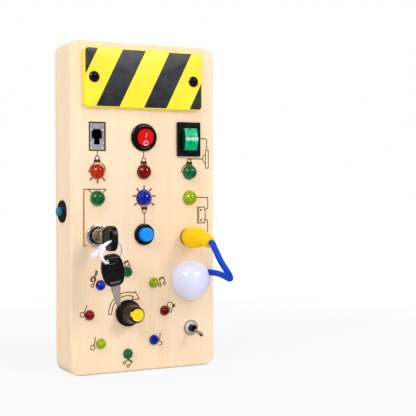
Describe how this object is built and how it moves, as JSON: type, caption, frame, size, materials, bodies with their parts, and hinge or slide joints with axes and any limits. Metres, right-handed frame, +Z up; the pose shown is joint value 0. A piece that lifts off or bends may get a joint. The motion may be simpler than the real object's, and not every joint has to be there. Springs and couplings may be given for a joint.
{
  "type": "wooden busy board",
  "caption": "Upright wooden activity board with coloured lamps, rocker, push and toggle switches, a rotary knob, a key lock with keys, a roped plug and a striped plate.",
  "frame": {"origin": "centre of the bottom face of the wooden block, on which it stands", "axes": "+X to the right seen from the front, +Y from the front face to the back face, +Z up"},
  "size_m": [0.136, 0.0901, 0.271],
  "materials": {
    "wood": "clear oiled, fine grain",
    "plywood": "sanded birch plywood",
    "zinc_screw": "zinc plated",
    "yellow_plate": "printed gloss with slanted dark stripes",
    "black_screw": "black oxide",
    "grey_plastic": "moulded gloss",
    "gold_contact": "gold plated",
    "black_plastic": "moulded, slight gloss",
    "black_matte": "moulded, matte",
    "red_rocker": "moulded gloss with white marks",
    "green_rocker": "translucent gloss",
    "lens_orange": "translucent gloss",
    "lens_red": "translucent gloss",
    "lens_green": "translucent gloss",
    "lens_blue": "translucent gloss",
    "lens_lime": "translucent gloss",
    "lamp_leads": "tinned",
    "circuit_board": "solder mask",
    "white_dome": "opal gloss",
    "warm_lamp": "clear gloss",
    "blue_cap": "moulded gloss",
    "teal_cap": "moulded gloss",
    "nut_steel": "turned",
    "spring_steel": "drawn wire",
    "lock_chrome": "polished",
    "lock_brass": "worn polish",
    "key_plastic": "moulded gloss",
    "key_steel": "nickel plated",
    "nylon_tie": "translucent nylon",
    "yellow_rubber": "ribbed soft rubber",
    "pin_steel": "nickel plated",
    "blue_rope": "braided cord",
    "toggle_chrome": "polished",
    "knob_black": "moulded satin",
    "knob_yellow": "moulded gloss",
    "battery_wrap": "printed foil"
  },
  "bodies": {
    "root": {"wooden_case": "wood", "back_panel": "plywood", "back_panel_screws": "zinc_screw", "striped_plate": "yellow_plate", "striped_plate_screws": "black_screw", "phone_socket": "grey_plastic", "phone_contacts": "gold_contact", "round_switch_housing": "black_plastic", "round_switch_terminals": "lamp_leads", "square_switch_housing": "black_plastic", "square_switch_terminals": "lamp_leads", "lamp_orange": "lens_orange", "lamp_red": "lens_red", "lamp_green_upper": "lens_green", "lamp_green_lower": "lens_green", "lamp_blue": "lens_blue", "lamp_lime": "lens_lime", "big_lamp_leads": "lamp_leads", "ring_lamps_green": "lens_green", "ring_lamps_blue": "lens_blue", "ring_lamps_red": "lens_red", "ring_lamps_lime": "lens_lime", "ring_board": "circuit_board", "ring_lamp_leads": "lamp_leads", "dome_lens": "white_dome", "dome_ring_nut": "black_matte", "dome_board": "circuit_board", "dome_lamp": "warm_lamp", "front_button_housing": "black_plastic", "front_button_nut": "black_matte", "front_button_spring": "spring_steel", "side_button_housing": "black_plastic", "side_button_nut": "black_matte", "side_button_spring": "spring_steel", "lock_body": "lock_chrome", "lock_nut": "nut_steel", "plug_socket": "black_plastic", "rope": "blue_rope", "toggle_switch_body": "toggle_chrome", "toggle_nuts": "toggle_chrome", "rotary_switch": "black_matte", "battery_box": "black_matte", "batteries": "battery_wrap"},
    "round_rocker": {"round_rocker": "red_rocker"},
    "square_rocker": {"square_rocker": "green_rocker"},
    "front_button": {"front_button_cap": "blue_cap"},
    "side_button": {"side_button_cap": "teal_cap"},
    "toggle": {"toggle_lever": "toggle_chrome"},
    "knob": {"knob": "knob_black", "knob_cap": "knob_yellow"},
    "lock_plug": {"lock_plug": "lock_brass"},
    "key": {"key_head": "key_plastic", "key_blade": "key_steel"},
    "tie": {"cable_tie": "nylon_tie"},
    "spare_key": {"spare_key_head": "key_plastic", "spare_key_blade": "key_steel"},
    "plug": {"plug_grip": "yellow_rubber", "plug_pin": "pin_steel", "plug_boot": "yellow_rubber"},
    "battery_door": {"battery_door": "black_plastic"}
  },
  "joints": [
    {"name": "round_rocker_tilt", "type": "hinge", "parent": "root", "child": "round_rocker", "pos_m": [0, -0.0179, 0.1937], "axis": [1, 0, 0], "range_deg": [-16, 0]},
    {"name": "square_rocker_tilt", "type": "hinge", "parent": "root", "child": "square_rocker", "pos_m": [0.0408, -0.0169, 0.1929], "axis": [1, 0, 0], "range_deg": [-8, 8]},
    {"name": "front_button_press", "type": "slide", "parent": "root", "child": "front_button", "axis": [0, 1, 0], "range_m": [0, 0.002], "stiffness_N_per_m": 300, "springref_m": -0.001, "deforming": ["front_button_spring"]},
    {"name": "side_button_press", "type": "slide", "parent": "root", "child": "side_button", "axis": [1, 0, 0], "range_m": [0, 0.002], "stiffness_N_per_m": 300, "springref_m": -0.001, "deforming": ["side_button_spring"]},
    {"name": "toggle_flip", "type": "hinge", "parent": "root", "child": "toggle", "pos_m": [0.0425, -0.0207, 0.033], "axis": [1, 0, 0], "range_deg": [-24, 0]},
    {"name": "knob_turn", "type": "hinge", "parent": "root", "child": "knob", "pos_m": [-0.0158, -0.0175, 0.0489], "axis": [0, 1, 0], "range_deg": [0, 315]},
    {"name": "lock_turn", "type": "hinge", "parent": "root", "child": "lock_plug", "pos_m": [-0.0433, -0.0175, 0.1133], "axis": [0, 1, 0], "range_deg": [0, 90]},
    {"name": "key_pull", "type": "slide", "parent": "lock_plug", "child": "key", "axis": [0, -1, 0], "range_m": [0, 0.018]},
    {"name": "tie_swing", "type": "hinge", "parent": "key", "child": "tie", "pos_m": [-0.0433, -0.0526, 0.1105], "axis": [0, 1, 0], "range_deg": [-90, 0], "deforming": ["cable_tie"]},
    {"name": "spare_key_swing", "type": "hinge", "parent": "tie", "child": "spare_key", "pos_m": [-0.0452, -0.0526, 0.0946], "axis": [1, 0, 0], "range_deg": [-20, 20]},
    {"name": "plug_pull", "type": "slide", "parent": "root", "child": "plug", "axis": [0, -1, 0], "range_m": [0, 0.012], "deforming": ["rope"]},
    {"name": "battery_door_lift", "type": "slide", "parent": "root", "child": "battery_door", "axis": [0, 1, 0], "range_m": [0, 0.02]}
  ],
  "couplings": [
    {"joint": "tie_swing", "follows": "lock_turn", "ratio": -1}
  ]
}
